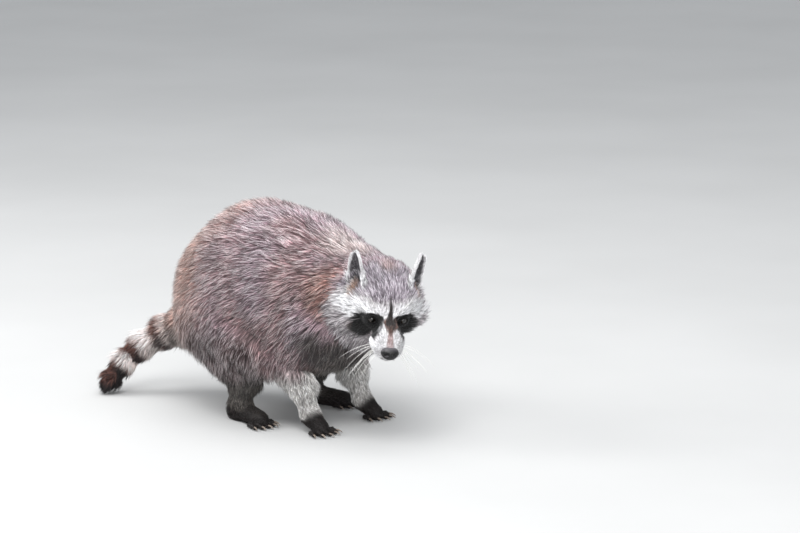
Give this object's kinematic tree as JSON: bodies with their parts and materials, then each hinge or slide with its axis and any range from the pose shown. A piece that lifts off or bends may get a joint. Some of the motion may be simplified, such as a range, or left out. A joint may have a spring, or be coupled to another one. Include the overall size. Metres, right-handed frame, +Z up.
{
  "type": "raccoon",
  "caption": "Life-size raccoon on all fours, back arched, head lowered and turned to its right, ringed tail drooping to the floor; a still model.",
  "frame": {"origin": "on the floor, under the middle of the animal's length and width", "axes": "+X to the animal's left, -Y forwards along its body, +Z up"},
  "size_m": [0.2338, 0.5638, 0.3073],
  "materials": {
    "fur": "grizzled grey-brown fur of soft overlapping tufts, with pale and dark markings",
    "eye": "wet, glossy, dark brown",
    "nose": "moist black, finely pebbled",
    "claw": "smooth horn, dark at the root",
    "whisker": "smooth white bristle"
  },
  "bodies": {
    "root": {"right_upper_arm": "fur", "right_forearm": "fur", "right_forepaw": "fur", "left_upper_arm": "fur", "left_forearm": "fur", "left_forepaw": "fur", "right_thigh": "fur", "right_shank": "fur", "right_hind_foot": "fur", "left_thigh": "fur", "left_shank": "fur", "left_hind_foot": "fur", "chest": "fur", "abdomen": "fur", "neck": "fur", "tail_1": "fur", "tail_2": "fur", "tail_3": "fur", "tail_4": "fur", "right_eye": "eye", "right_ear": "fur", "left_eye": "eye", "left_ear": "fur", "head": "fur", "muzzle": "fur", "jaw": "fur", "nose": "nose"}
  },
  "joints": []
}
